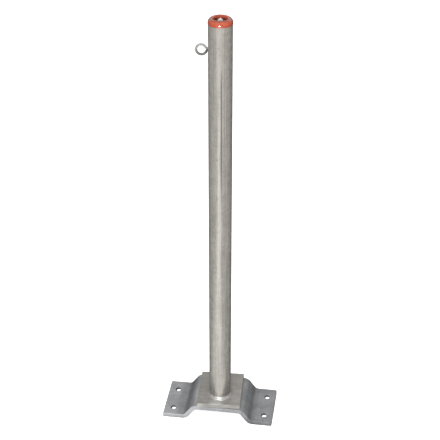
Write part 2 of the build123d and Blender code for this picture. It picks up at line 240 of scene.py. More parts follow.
def plug(r, z0, z1, flare, n, to_row, lips=(True, True)):
    """Cutter for a round hole with softened mouths at z0 and z1."""
    out = []
    if lips[0]:
        out += [(r + flare + 0.6, z0 - 3.0), (r + flare, z0 - 0.12)]
        out += [(r + flare * (1 - math.sin(math.radians(a))), z0 - 0.12 + flare * (1 - math.cos(math.radians(a))))
                for a in (22.5, 45, 67.5, 90)]
    else:
        out += [(r, z0 - 3.0)]
    if lips[1]:
        out += [(r + flare * (1 - math.sin(math.radians(a))), z1 + 0.12 - flare * (1 - math.cos(math.radians(a))))
                for a in (90, 67.5, 45, 22.5)]
        out += [(r + flare, z1 + 0.12), (r + flare + 0.6, z1 + 3.0)]
    else:
        out += [(r, z1 + 3.0)]
    verts, faces = [], []
    for rr, z in out:
        for k in range(n):
            a = TAU * k / n
            verts.append(to_row(rr * math.cos(a), rr * math.sin(a), z))
    for i in range(len(out) - 1):
        for k in range(n):
            m = (k + 1) % n
            faces.append((i * n + k, i * n + m, (i + 1) * n + m, (i + 1) * n + k))
    faces.append(tuple(range(n)))
    faces.append(tuple(range((len(out) - 1) * n, len(out) * n)))
    return build("cutter", verts, faces, None, blank, None)


# ---------------------------------------------------------------- material helpers
class Mat:
    """A small builder for node materials. Coordinates are the object's own, in millimetres."""

    def __init__(self, name, rough=0.5, metallic=0.0, ior=1.5, coat=0.0, coat_rough=0.1):
        self.mat = bpy.data.materials.new(name)
        self.mat.use_nodes = True
        self.tree = self.mat.node_tree
        self.tree.nodes.clear()
        self.out = self.tree.nodes.new("ShaderNodeOutputMaterial")
        self.bsdf = self.tree.nodes.new("ShaderNodeBsdfPrincipled")
        self.link(self.bsdf.outputs[0], self.out.inputs[0])
        self.bsdf.inputs["Roughness"].default_value = rough
        self.bsdf.inputs["Metallic"].default_value = metallic
        self.bsdf.inputs["IOR"].default_value = ior
        self.bsdf.inputs["Coat Weight"].default_value = coat
        self.bsdf.inputs["Coat Roughness"].default_value = coat_rough
        co = self.tree.nodes.new("ShaderNodeTexCoord")
        self.mm = self.vec("SCALE", co.outputs["Object"], None, 1000.0)
        self.parts = None

    def link(self, a, b):
        self.tree.links.new(a, b)

    def feed(self, value, socket):
        if value is None:
            return
        if isinstance(value, bpy.types.NodeSocket):
            self.link(value, socket)
        else:
            socket.default_value = value

    def vec(self, op, a, b=None, scale=None):
        n = self.tree.nodes.new("ShaderNodeVectorMath")
        n.operation = op
        self.feed(a, n.inputs[0])
        if b is not None:
            self.feed(b, n.inputs[1])
        if scale is not None:
            n.inputs["Scale"].default_value = scale
        return n.outputs["Value"] if op in ("DISTANCE", "LENGTH", "DOT_PRODUCT") else n.outputs["Vector"]

    def math(self, op, a, b=None, c=None, clip=False):
        n = self.tree.nodes.new("ShaderNodeMath")
        n.operation = op
        n.use_clamp = clip
        self.feed(a, n.inputs[0])
        if b is not None:
            self.feed(b, n.inputs[1])
        if c is not None:
            self.feed(c, n.inputs[2])
        return n.outputs[0]

    def xyz(self):
        if self.parts is None:
            n = self.tree.nodes.new("ShaderNodeSeparateXYZ")
            self.link(self.mm, n.inputs[0])
            self.parts = n.outputs
        return self.parts

    def stretch(self, x, y, z, turn=0.0):
        """Coordinates divided by a size in mm along each axis."""
        v = self.mm
        if turn:
            r = self.tree.nodes.new("ShaderNodeVectorRotate")
            r.rotation_type = "Z_AXIS"
            self.link(v, r.inputs["Vector"])
            r.inputs["Center"].default_value = (AX, AY, 0)
            r.inputs["Angle"].default_value = -turn
            v = r.outputs[0]
        return self.vec("MULTIPLY", v, (1.0 / x, 1.0 / y, 1.0 / z))

    def noise(self, size, detail=3.0, rough=0.55, warp=0.0, at=None):
        n = self.tree.nodes.new("ShaderNodeTexNoise")
        self.link(at if at is not None else self.mm, n.inputs["Vector"])
        n.inputs["Scale"].default_value = 1.0 / size if at is None else size
        n.inputs["Detail"].default_value = detail
        n.inputs["Roughness"].default_value = rough
        n.inputs["Distortion"].default_value = warp
        return n.outputs["Fac"]

    def cells(self, size, at=None, smooth=0.0):
        n = self.tree.nodes.new("ShaderNodeTexVoronoi")
        n.feature = "SMOOTH_F1" if smooth else "F1"
        self.link(at if at is not None else self.mm, n.inputs["Vector"])
        n.inputs["Scale"].default_value = 1.0 / size
        if smooth:
            n.inputs["Smoothness"].default_value = smooth
        return n

    def step(self, value, a, b, lo=0.0, hi=1.0):
        """Smooth map of value from a..b to lo..hi, held outside."""
        n = self.tree.nodes.new("ShaderNodeMapRange")
        n.interpolation_type = "SMOOTHSTEP"
        self.feed(value, n.inputs["Value"])
        n.inputs["From Min"].default_value = a
        n.inputs["From Max"].default_value = b
        n.inputs["To Min"].default_value = lo
        n.inputs["To Max"].default_value = hi
        return n.outputs["Result"]

    def mix(self, fac, a, b, kind="MIX"):
        n = self.tree.nodes.new("ShaderNodeMix")
        n.data_type = "RGBA"
        n.blend_type = kind
        self.feed(fac, n.inputs[0])
        for value, socket in ((a, n.inputs[6]), (b, n.inputs[7])):
            if isinstance(value, tuple) and len(value) == 3:
                value = (*value, 1.0)
            self.feed(value, socket)
        return n.outputs[2]

    def bump(self, height, strength, distance_mm, under=None):
        n = self.tree.nodes.new("ShaderNodeBump")
        n.inputs["Strength"].default_value = strength
        n.inputs["Distance"].default_value = distance_mm * MM
        self.link(height, n.inputs["Height"])
        if under is not None:
            self.link(under, n.inputs["Normal"])
        return n.outputs["Normal"]

    def spot(self, x, y, z, r):
        """1 at a point, falling to 0 at radius r."""
        d = self.vec("DISTANCE", self.mm, (x, y, z))
        return self.step(d, 0.0, r, 1.0, 0.0)

    def done(self, color=None, rough=None, normal=None, metallic=None):
        self.feed(color, self.bsdf.inputs["Base Color"])
        self.feed(rough, self.bsdf.inputs["Roughness"])
        self.feed(normal, self.bsdf.inputs["Normal"])
        self.feed(metallic, self.bsdf.inputs["Metallic"])
        return self.mat


blank = bpy.data.materials.new("blank")


def zinc(name, dark, light, mottle, rough, metallic, grain=None, seed=0.0, patch=0.5):
    """Hot-dip galvanised steel: cloudy patches, fine crystals, small pits, a soft grain."""
    m = Mat(name, metallic=metallic)
    at = m.vec("ADD", m.mm, (seed, -seed, 2 * seed))
    cloud = m.noise(1.0 / (mottle * 5), 3, 0.5, 0.3, at)
    fine = m.noise(1.0 / mottle, 5, 0.6, 0.4, at)
    grit = m.noise(1.0 / 0.9, 3, 0.6, 0.0, at)
    tone = m.math("ADD", m.math("MULTIPLY", cloud, patch), m.math("MULTIPLY", fine, 1 - patch))
    col = m.mix(m.step(tone, 0.36, 0.64), dark, light)
    shade = m.step(grit, 0.3, 0.7, 0.93, 1.05)
    col = m.mix(1.0, col, m.grey(shade), "MULTIPLY")
    return m, at, cloud, fine, grit, col, rough


def grey(self, value):
    n = self.tree.nodes.new("ShaderNodeCombineColor")
    for i in range(3):
        self.feed(value, n.inputs[i])
    return n.outputs[0]


Mat.grey = grey


# ---------------------------------------------------------------- materials
def make_bracket():
    m, at, cloud, fine, grit, col, rough = zinc(
        "zinc_bracket", (0.28, 0.288, 0.30), (0.41, 0.42, 0.432), 5.0, 0.5, 0.35, seed=11.0, patch=0.45)
    x, y, z = m.xyz()
    # painted shade: the bent legs and the flats beside the heel bends are painted darker, and the whole bar is painted
    # darker towards its right end
    leg_shade = m.math("MULTIPLY", m.step(z, 9.2, 14.0), m.step(m.math("ABSOLUTE", x), 50.0, 57.0))
    leg_shade = m.math("MULTIPLY", leg_shade, m.step(x, -60.0, 60.0, 0.11, 0.06))
    heel = m.math("MULTIPLY", m.step(x, -102.0, -84.0), m.step(x, -68.0, -60.0, 0.30, 0.0))
    heel_r_shade = m.math("MULTIPLY", m.step(x, 64.0, 72.0), m.step(x, 80.0, 88.0, 0.24, 0.0))
    leg_shade = m.math("ADD", leg_shade, m.math("ADD", heel, heel_r_shade))
    drift_shade = m.step(x, -60.0, 110.0, 1.0, 0.76)
    col = m.mix(1.0, col, m.grey(m.math("MULTIPLY", drift_shade, m.math("SUBTRACT", 1.0, leg_shade))), "MULTIPLY")
    # painted light: the sawn front edge is painted paler at the left
    edge = m.math("MULTIPLY", m.step(y, -59.4, -58.2, 1.0, 0.0), m.step(x, -75.0, -35.0, 0.45, 0.0))
    col = m.mix(edge, col, (0.80, 0.81, 0.82))
    # dark speckle and a few pale scuffs
    speck = m.step(m.noise(1.0 / 1.6, 2, 0.5, 0.0, at), 0.63, 0.72)
    col = m.mix(m.math("MULTIPLY", speck, 0.35), col, (0.12, 0.125, 0.13))
    scuff = m.step(m.noise(1.0 / 3.2, 6, 0.75, 0.6, m.stretch(1.6, 1, 1)), 0.66, 0.74)
    col = m.mix(m.math("MULTIPLY", scuff, 0.35), col, (0.47, 0.48, 0.49))
    # painted light and shade in the bores: each bore is painted near black at the top and on its left as painted
    # shadow, and near white lower down on its right, where it also glows, standing in for the pale ground seen through
    # it
    flat = m.vec("MULTIPLY", m.mm, (1.0, 1.0, 0.0))
    painted_bore_glow = None
    for hx in (-103.5, 103.5):
        for hy in (-36.0, 30.0):
            inside = m.step(m.vec("DISTANCE", flat, (hx, hy, 0.0)), 6.15, 6.4, 1.0, 0.0)
            deep = m.step(m.math("ADD", z, m.math("MULTIPLY", m.math("SUBTRACT", x, hx), -0.22)), 4.6, 6.4, 1.0, 0.0)
            side = m.math("ADD", m.math("SUBTRACT", x, hx), m.math("MULTIPLY", m.math("SUBTRACT", y, hy), 0.35))
            lit = m.math("MULTIPLY", deep, m.step(side, -3.2, -0.6))
            col = m.mix(inside, col, m.mix(lit, (0.05, 0.05, 0.05), (0.95, 0.95, 0.94)))
            part = m.math("MULTIPLY", inside, lit)
            painted_bore_glow = part if painted_bore_glow is None else m.math("MAXIMUM", painted_bore_glow, part)
    # painted light: the pale part of each bore glows
    m.bsdf.inputs["Emission Color"].default_value = (1.0, 1.0, 1.0, 1.0)
    m.link(m.math("MULTIPLY", painted_bore_glow, 1.1), m.bsdf.inputs["Emission Strength"])
    r = m.math("ADD", m.step(fine, 0.3, 0.7, 0.40, 0.56), m.math("MULTIPLY", scuff, -0.08))
    h = m.math("ADD", m.math("MULTIPLY", fine, 0.7), m.math("MULTIPLY", grit, 0.3))
    n = m.bump(h, 0.55, 0.35)
    return m.done(col, r, n)


def make_plate():
    m = Mat("zinc_plate", metallic=0.35)
    turn = TURN
    lines = m.noise(1.0, 4, 0.65, 0.15, m.stretch(34.0, 1.5, 3.0, turn))
    broad = m.noise(1.0, 2, 0.5, 0.2, m.stretch(60.0, 7.0, 9.0, turn))
    blot = m.noise(9.0, 4, 0.6, 0.4)
    grit = m.noise(0.8, 3, 0.6)
    tone = m.math("ADD", m.math("MULTIPLY", lines, 0.5), m.math("ADD", m.math("MULTIPLY", broad, 0.25), m.math("MULTIPLY", blot, 0.25)))
    col = m.mix(m.step(tone, 0.38, 0.62), (0.30, 0.286, 0.266), (0.44, 0.425, 0.40))
    x, y, z = m.xyz()
    # painted shade: the plate is painted darker towards its left
    col = m.mix(1.0, col, m.grey(m.step(x, -40.0, 34.0, 0.72, 0.86)), "MULTIPLY")
    # painted highlight: a pale patch on the plate's top in front of the tube
    pale = m.math("MULTIPLY", m.step(m.math("ABSOLUTE", m.math("ADD", x, 3.0)), 6.0, 19.0, 1.0, 0.0), m.step(y, -62.0, -34.0, 1.0, 0.0))
    pale = m.math("MULTIPLY", pale, m.step(z, 46.0, 47.2))
    col = m.mix(m.math("MULTIPLY", pale, 0.85), col, (0.55, 0.545, 0.53))
    # painted light: the left end of the plate's sides is painted paler
    end = m.math("MULTIPLY", m.step(z, 46.0, 47.2, 1.0, 0.0), m.step(x, -42.0, -24.0, 0.4, 0.0))
    col = m.mix(end, col, (0.64, 0.62, 0.59))
    speck = m.step(m.noise(2.2, 3, 0.6), 0.64, 0.74)
    col = m.mix(m.math("MULTIPLY", speck, 0.4), col, (0.12, 0.115, 0.11))
    r = m.step(lines, 0.3, 0.7, 0.34, 0.5)
    h = m.math("ADD", m.math("MULTIPLY", lines, 0.7), m.math("MULTIPLY", grit, 0.3))
    return m.done(col, r, m.bump(h, 0.5, 0.22))


def make_tube():
    m = Mat("zinc_tube", metallic=0.30)
    x, y, z = m.xyz()
    drawn = m.noise(1.0, 4, 0.62, 0.1, m.stretch(2.2, 2.2, 150.0))
    broad = m.noise(1.0, 3, 0.5, 0.4, m.stretch(11.0, 11.0, 70.0))
    blot = m.noise(16.0, 4, 0.6, 0.6)
    grit = m.noise(0.9, 3, 0.6)
    tone = m.math("ADD", m.math("MULTIPLY", drawn, 0.42), m.math("ADD", m.math("MULTIPLY", broad, 0.33), m.math("MULTIPLY", blot, 0.25)))
    col = m.mix(m.step(tone, 0.38, 0.62), (0.31, 0.296, 0.270), (0.40, 0.385, 0.357))
    speck = m.step(m.noise(2.6, 3, 0.65, 0.5), 0.66, 0.76)
    col = m.mix(m.math("MULTIPLY", speck, 0.25), col, (0.18, 0.17, 0.15))
    # one dark drawn line down the upper half of the front
    flat = m.vec("MULTIPLY", m.mm, (1.0, 1.0, 0.0))
    wander = m.math("MULTIPLY", m.math("SUBTRACT", m.noise(1.0, 2, 0.5, 0.0, m.stretch(400.0, 400.0, 90.0)), 0.5), 1.2)
    line = m.step(m.math("ADD", m.vec("DISTANCE", flat, (6.27, -39.57, 0.0)), wander), 0.8, 1.9, 1.0, 0.0)
    line = m.math("MULTIPLY", line, m.math("MULTIPLY", m.step(z, 520.0, 640.0), m.step(z, 800.0, 860.0, 1.0, 0.15)))
    col = m.mix(m.math("MULTIPLY", line, 0.9), col, (0.13, 0.125, 0.115))
    # the foot of the tube is a touch paler and more metallic from the heat of welding, and its sides there are painted
    # darker as painted shade
    weld_heat_and_shade_zone = m.step(m.math("ADD", z, m.math("MULTIPLY", blot, 24.0)), 78.0, 128.0, 1.0, 0.0)
    col = m.mix(1.0, col, m.grey(m.step(weld_heat_and_shade_zone, 0.0, 1.0, 1.0, 1.06)), "MULTIPLY")
    # painted shade: the left and right sides of the tube's foot are painted dark, across a fixed sideways axis of the
    # object
    across = m.math("ADD", m.math("MULTIPLY", m.math("SUBTRACT", x, AX), 0.99), m.math("MULTIPLY", m.math("SUBTRACT", y, AY), 0.14))
    reach = m.math("SUBTRACT", across, m.math("MULTIPLY", m.math("SUBTRACT", z, 60.0), 0.14))
    painted_side_shade = m.math("ADD", m.step(reach, 3.0, 7.5), m.step(across, -14.0, -8.0, 0.8, 0.0))
    col = m.mix(m.math("MULTIPLY", m.math("MULTIPLY", weld_heat_and_shade_zone, painted_side_shade), 0.55), col, (0.12, 0.115, 0.105))
    # short slanted dabs level with the eye, and a few marks in the heated zone
    for dx, dz, wide, high, lean, much in (
            (-3.2, 890.7, 2.6, 1.5, 0.45, 0.55), (1.2, 885.4, 3.4, 1.1, -0.5, 0.32), (-0.6, 877.6, 2.4, 1.5, -0.5, 0.45),
            (-1.0, 85.0, 2.6, 1.5, 0.0, 0.55), (20.5, 84.0, 2.4, 4.0, 0.0, 0.6), (-0.5, 114.0, 9.0, 1.6, -0.12, 0.3)):
        du = m.math("DIVIDE", m.math("SUBTRACT", across, dx), wide)
        dv = m.math("DIVIDE", m.math("SUBTRACT", m.math("SUBTRACT", z, dz), m.math("MULTIPLY", m.math("SUBTRACT", across, dx), lean)), high)
        dab = m.step(m.math("ADD", m.math("MULTIPLY", du, du), m.math("MULTIPLY", dv, dv)), 0.2, 1.1, 1.0, 0.0)
        dab = m.math("MULTIPLY", dab, m.step(y, -24.0, -20.0, 1.0, 0.0))
        col = m.mix(m.math("MULTIPLY", dab, much), col, (0.12, 0.115, 0.105))
    # painted shade: the tube is painted dark round where the eye enters
    col = m.mix(m.math("MULTIPLY", m.spot(-23.4, -18.4, 874.5, 8.0), 0.85), col, (0.05, 0.045, 0.045))
    r = m.math("ADD", m.step(drawn, 0.3, 0.7, 0.22, 0.32), m.step(blot, 0.3, 0.7, -0.02, 0.03))
    r = m.math("ADD", r, m.math("MULTIPLY", line, 0.25))
    h = m.math("ADD", m.math("MULTIPLY", drawn, 0.6), m.math("ADD", m.math("MULTIPLY", blot, 0.25), m.math("MULTIPLY", grit, 0.15)))
    return m.done(col, r, m.bump(h, 0.22, 0.2), m.step(weld_heat_and_shade_zone, 0.0, 1.0, 0.30, 0.45))


def make_weld():
    m = Mat("weld_bead", metallic=0.55)
    fine = m.noise(2.4, 4, 0.6, 0.4)
    grit = m.noise(0.7, 3, 0.6)
    col = m.mix(m.step(fine, 0.34, 0.66), (0.38, 0.37, 0.355), (0.54, 0.53, 0.515))
    r = m.step(fine, 0.3, 0.7, 0.30, 0.42)
    h = m.math("ADD", m.math("MULTIPLY", fine, 0.6), m.math("MULTIPLY", grit, 0.4))
    return m.done(col, r, m.bump(h, 0.22, 0.15))


def make_red():
    m = Mat("red_plastic", ior=1.5, rough=0.22, coat=1.0, coat_rough=0.06)
    cloud = m.noise(7.0, 3, 0.5, 0.3)
    grit = m.noise(0.5, 3, 0.6)
    lines = m.noise(0.7, 5, 0.7, 1.2)
    col = m.mix(m.step(cloud, 0.3, 0.7), (0.39, 0.068, 0.035), (0.455, 0.085, 0.044))
    # painted sheen on the front of the crest, and painted shade down the bore
    x, y, z = m.xyz()
    out = m.vec("DISTANCE", m.vec("MULTIPLY", m.mm, (1.0, 1.0, 0.0)), (AX, AY, 0.0))
    crest_painted_sheen = m.math("MULTIPLY", m.step(z, 941.5, 943.2), m.step(y, -22.0, -8.0, 1.0, 0.1))
    col = m.mix(crest_painted_sheen, col, (0.60, 0.78, 0.80), "MULTIPLY")
    # painted shade: the bore below the mouth is painted darker
    col = m.mix(m.math("MULTIPLY", m.step(out, 14.0, 14.6, 1.0, 0.0), m.step(z, 938.0, 940.0, 1.0, 0.0)), col, (0.40, 0.40, 0.42), "MULTIPLY")
    scratch = m.step(lines, 0.62, 0.72)
    col = m.mix(m.math("MULTIPLY", scratch, 0.12), col, (0.78, 0.35, 0.25))
    r = m.math("ADD", m.step(cloud, 0.3, 0.7, 0.13, 0.18), m.math("MULTIPLY", scratch, 0.12))
    h = m.math("ADD", m.math("MULTIPLY", cloud, 0.75), m.math("MULTIPLY", grit, 0.25))
    return m.done(col, r, m.bump(h, 0.15, 0.12))


def make_wire():
    m = Mat("zinc_wire", metallic=0.5)
    fine = m.noise(1.8, 4, 0.6, 0.3)
    grit = m.noise(0.5, 3, 0.6)
    col = m.mix(m.step(fine, 0.33, 0.67), (0.38, 0.375, 0.365), (0.56, 0.555, 0.545))
    stain = m.step(m.noise(4.0, 3, 0.6), 0.6, 0.7)
    col = m.mix(m.math("MULTIPLY", stain, 0.4), col, (0.17, 0.16, 0.145))
    x, y, z = m.xyz()
    # painted shade: the wire is painted darker towards the bottom of the eye
    col = m.mix(1.0, col, m.grey(m.step(z, 868.0, 884.0, 0.40, 1.0)), "MULTIPLY")
    # painted shade: the wire is painted near black where it enters the tube
    col = m.mix(m.math("MULTIPLY", m.spot(-24.5, -17.2, 875.5, 8.5), 0.95), col, (0.035, 0.03, 0.03))
    r = m.step(fine, 0.3, 0.7, 0.36, 0.5)
    return m.done(col, r, m.bump(m.math("ADD", fine, grit), 0.25, 0.12))


def make_turned(name, dark, light, metallic, lo, hi, pitch=0.5, stain=0.3):
    m = Mat(name, metallic=metallic)
    rings = m.noise(1.0, 3, 0.6, 0.0, m.stretch(40.0, 40.0, pitch))
    cloud = m.noise(6.0, 4, 0.6, 0.4)
    tone = m.math("ADD", m.math("MULTIPLY", rings, 0.5), m.math("MULTIPLY", cloud, 0.5))
    col = m.mix(m.step(tone, 0.36, 0.64), dark, light)
    mark = m.step(m.noise(3.0, 4, 0.65, 0.5), 0.6, 0.72)
    col = m.mix(m.math("MULTIPLY", mark, stain), col, (0.10, 0.085, 0.07))
    r = m.step(rings, 0.3, 0.7, lo, hi)
    return m.done(col, r, m.bump(m.math("ADD", m.math("MULTIPLY", rings, 0.7), m.math("MULTIPLY", cloud, 0.3)), 0.35, 0.12))


def make_nylon():
    m = Mat("pale_nylon", rough=0.5, ior=1.53)
    cloud = m.noise(5.0, 4, 0.6, 0.3)
    rings = m.noise(1.0, 3, 0.6, 0.0, m.stretch(30.0, 30.0, 0.6))
    col = m.mix(m.step(cloud, 0.3, 0.7), (0.62, 0.59, 0.51), (0.72, 0.70, 0.63))
    r = m.step(rings, 0.3, 0.7, 0.42, 0.58)
    return m.done(col, r, m.bump(rings, 0.3, 0.1))


zinc_bracket = make_bracket()
zinc_plate = make_plate()
zinc_tube = make_tube()
weld_bead = make_weld()
red_plastic = make_red()
zinc_wire = make_wire()
bright_steel = make_turned("bright_steel", (0.30, 0.30, 0.30), (0.48, 0.48, 0.475), 0.9, 0.22, 0.36)
head_steel = make_turned("head_steel", (0.62, 0.615, 0.605), (0.80, 0.795, 0.785), 0.3, 0.34, 0.46, 0.35, 0.15)
spring_steel = make_turned("spring_steel", (0.10, 0.10, 0.105), (0.20, 0.20, 0.21), 0.85, 0.28, 0.4)
pale_nylon = make_nylon()

BY_SLOT = {
    "zinc_bracket": zinc_bracket, "zinc_plate": zinc_plate, "zinc_tube": zinc_tube, "weld_bead": weld_bead,
    "red_plastic": red_plastic, "zinc_wire": zinc_wire, "bright_steel": bright_steel, "head_steel": head_steel,
    "pale_nylon": pale_nylon, "spring_steel": spring_steel,
}
for part in frame["record"]["subparts"]:
    obj = nodes[part["node"]]
    if not obj.material_slots:
        obj.data.materials.append(None)
    for sl in obj.material_slots:
        sl.material = BY_SLOT[part["material_slot"]]

# ---------------------------------------------------------------- base bracket
# centre line of the bar: flange, heel bend, leg, shoulder bend, top, and the same back down
BAR_T, TOP, HALF = 10.0, 37.5, 123.5
SLOPE = math.atan2(27.5, 20.0)
MITRE = BAR_T * math.tan(SLOPE / 2)
HEEL, SHOULDER = 76.0 - MITRE / 2, 56.0 - MITRE / 2
BEND = 14.0
TAN = BEND * math.tan(SLOPE / 2)


def bracket_line():
    left = []                       # from the left end to the middle: (x, z, heading)

    def line(x0, z0, x1, z1, step):
        n = max(1, int(round(math.hypot(x1 - x0, z1 - z0) / step)))
        h = math.atan2(z1 - z0, x1 - x0)
        return [(x0 + (x1 - x0) * i / n, z0 + (z1 - z0) * i / n, h) for i in range(n)]

    def bend(cx, cz, h0, h1, up, step):
        n = max(3, int(round(abs(h1 - h0) * BEND / step)))
        out = []
        for i in range(n):
            h = h0 + (h1 - h0) * i / n
            sgn = 1 if up else -1
            out.append((cx + sgn * BEND * math.sin(h), cz - sgn * BEND * math.cos(h), h))
        return out

    ends = [(-HALF + d, 5.0, 0.0) for d in (0.0, 0.08, 0.25, 0.45, 0.7, 1.0, 1.4, 2.0, 2.8, 3.8)]
    left += ends
    left += line(-HALF + 5.0, 5.0, -HEEL - TAN, 5.0, 1.5)
    left += bend(-HEEL - TAN, 5.0 + BEND, 0.0, SLOPE, True, 1.1)
    ca, sa = math.cos(SLOPE), math.sin(SLOPE)
    left += line(-HEEL + TAN * ca, 5.0 + TAN * sa, -SHOULDER - TAN * ca, 32.5 - TAN * sa, 1.4)
    left += bend(-SHOULDER + TAN, 32.5 - BEND, SLOPE, 0.0, False, 1.1)
    left += line(-SHOULDER + TAN, 32.5, 0.0, 32.5, 1.8)
    pts = left + [(0.0, 32.5, 0.0)] + [(-x, z, -h) for x, z, h in reversed(left)]
    out, s = [], 0.0
    for i, (x, z, h) in enumerate(pts):
        if i:
            s += math.hypot(x - pts[i - 1][0], z - pts[i - 1][1])
        out.append((x, z, -math.sin(h), math.cos(h), s))
    return out


def bracket_warp(x, y, z, s, ny, nn):
    """Zinc lies a little uneven; the width swells inside each bend and thins outside it."""
    d = 0.10 * lump(x, y, z, 26, 1.0) + 0.05 * lump(x, y, z, 7, 4.0) + 0.025 * lump(x, y, z, 3, 8.0)
    if nn < -0.5 and z < 6:
        d = min(d, 0.0)
    swell = 0.0
    if abs(ny) > 0.3:
        heel = math.exp(-((abs(x) - HEEL) / 9.0) ** 2) * (1 if z < 20 else 0)
        swell = 0.35 * heel * (1 if nn >= 0 else -0.6)
        edge = 0.22 * lump(x, y, z, 14, 6.0) + 0.1 * lump(x, y, z, 4, 2.0)
        swell += edge
    return d, swell * ny


plate_o = bar("base_bracket_form", bracket_line(), 60.0, 5.0, 0.95, 1.7, (1.6, 1.6, 1.6, 4.2),
              lambda x, y, z: (x, y, max(z, 0.0)), "base", zinc_bracket, "base_bracket", bracket_warp)
cutters = []
for hx in (-103.5, 103.5):
    for hy in (-36.0, 30.0):
        cutters.append(plug(6.0, 0.0, 10.0, 0.55, 56, lambda x, y, z, hx=hx, hy=hy: (hx + x, hy + y, z)))
cutters.append(plug(9.0, 27.5, 37.5, 0.5, 64, lambda x, y, z: (AX + x, AY + y, z)))
cut(plate_o, cutters)

# ---------------------------------------------------------------- nut with a cut thread
PITCH = 2.0


def thread(z, a, pitch=PITCH):
    """0 on a crest to 1 in a root, for a right-hand thread."""
    p = (z / pitch - a / TAU) % 1.0
    return clamp((1 - abs(2 * p - 1) - 0.10) / 0.72)


def nut_cutter():
    rows = [14.0 + 0.2 * i for i in range(int(14.0 / 0.2) + 1)]
    outline = [(8.0, z) for z in rows]
    return lathe("cutter", outline, 64, None, blank, None,
                 warp=lambda r, z, a, i: (8.02 + 0.85 * (1 - thread(z, a)) * ease(14.3, 15.6, z) * (1 - ease(26.2, 27.6, z)), z),
                 closed=False)


nut = nodes["lock_nut"].copy()
nut.data = nodes["lock_nut"].data.copy()
nut.name = "lock_nut_threaded"
nut.data.name = "lock_nut_threaded"
nut.parent = None
for key in list(nut.keys()):
    del nut[key]
bpy.context.scene.collection.objects.link(nut)
bm = bmesh.new()
bm.from_mesh(nut.data)
bmesh.ops.remove_doubles(bm, verts=bm.verts, dist=1e-6)
bm.to_mesh(nut.data)
bm.free()
nut.data.materials.clear()
nut.data.materials.append(zinc_bracket)
cut(nut, [nut_cutter()], 32)
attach(nut, "base")
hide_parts("lock_nut")

# ---------------------------------------------------------------- foot plate
FX, FY, FT, BACK = 97.0, 119.0, 10.0, 16.0


def foot_line():
    xs = [-FX / 2 + d for d in (0.0, 0.08, 0.25, 0.5, 0.8, 1.1, 1.5, 2.2, 3.2)]
    n = 54
    inner = [-FX / 2 + 4.5 + (FX - 9.0) * i / n for i in range(n + 1)]
    xs = xs + inner + [-x for x in reversed(xs)]
    out = []
    for x in xs:
        out.append((x, 37.5 + FT / 2, 0.0, 1.0, x + FX / 2))
    return out


def foot_warp(x, y, z, s, ny, nn):
    d = 0.05 * lump(x, y, z, 30, 3.0) + 0.03 * lump(x, y, z, 6, 5.0)
    if nn < -0.5:
        d = min(d, 0.0)
    push = 0.0
    if abs(ny) > 0.3:
        # flame-cut faces: faint ridges down the thickness and a ragged line
        push = 0.18 * lump(x, y, z, 9, 7.0) + 0.09 * lump(x * 3.0, y, z * 0.6, 5, 1.0)
        # a drip of zinc near the right end of the front face
        if ny < 0:
            push += 0.9 * math.exp(-((x - 34.0) / 2.2) ** 2 - ((z - 41.6) / 2.0) ** 2)
            push += 0.5 * math.exp(-((x + 21.0) / 3.0) ** 2 - ((z - 40.0) / 1.6) ** 2)
    return d, push * ny


foot_o = bar("foot_plate_form", foot_line(), FY / 2, FT / 2, 1.3, 1.8, (1.5, 1.5, 1.5, 1.5),
             lambda x, y, z: place(x, y + BACK, z), "post", zinc_plate, "foot_plate", foot_warp, end_r=1.1)
cut(foot_o, [plug(8.75, 37.5, 47.5, 0.5, 64, lambda x, y, z: place(x, y, z))])

# ---------------------------------------------------------------- post tube
FOOT_TOP, RIM, TUBE_R, TUBE_IN = 47.5, 932.0, 24.15, 21.55


def tube_warp(r, z, a, i):
    if r < TUBE_R - 0.5:
        return r + 0.03 * lump(math.cos(a) * 20, math.sin(a) * 20, z, 22, 9.0), z
    px, py = r * math.cos(a), r * math.sin(a)
    front = math.degrees(a) + 90.0                       # 0 at the front, where the camera looks
    front = (front + 180.0) % 360.0 - 180.0
    d = 0.035 * lump(px, py, z * 0.35, 15, 1.0) + 0.02 * lump(px, py, z * 0.5, 6, 3.0)
    # the tube's own seam, dressed flush: a faint flat with a raised line beside it
    seam = ease(330, 470, z) * (0.75 + 0.25 * lump(0, 0, z, 60, 2.0))
    d -= 0.10 * seam * math.exp(-((front - 4.0) / 3.0) ** 2)
    d += 0.05 * seam * math.exp(-((front + 2.5) / 2.2) ** 2)
    # rim dressed back a hair
    d -= 0.10 * ease(926.6, 927.4, z)
    # small slanted dabs of zinc below the rim, level with the eye
    for da, dz, amp in ((-9.5, 890.7, 0.22), (-5.5, 886.0, 0.14), (-6.5, 877.2, 0.22), (-3.0, 869.0, 0.10)):
        u = (front - da) / 3.4
        v = (z - dz - 0.35 * (front - da)) / 1.6
        d += amp * math.exp(-u * u - v * v)
    return r + d, z


inner_rows = []
zz = RIM - 0.35
outline = trace((TUBE_R, FOOT_TOP), (TUBE_R, 320.0, 5.0), (TUBE_R, 860.0, 5.0), (TUBE_R, 896.0, 1.2),
                (TUBE_R, 925.0, 3.0), (TUBE_R, 929.0, 0.4), (TUBE_R, RIM - 0.35, 1.2), (TUBE_R - 0.35, RIM, 1.0),
                (TUBE_IN + 0.35, RIM, 1.2), (TUBE_IN, RIM - 0.35, 1.0), (TUBE_IN, FOOT_TOP, 24.0), (TUBE_R, FOOT_TOP, 1.3))
tube_o = lathe("post_tube_form", outline, 200, "post", zinc_tube, "post_tube", tube_warp)


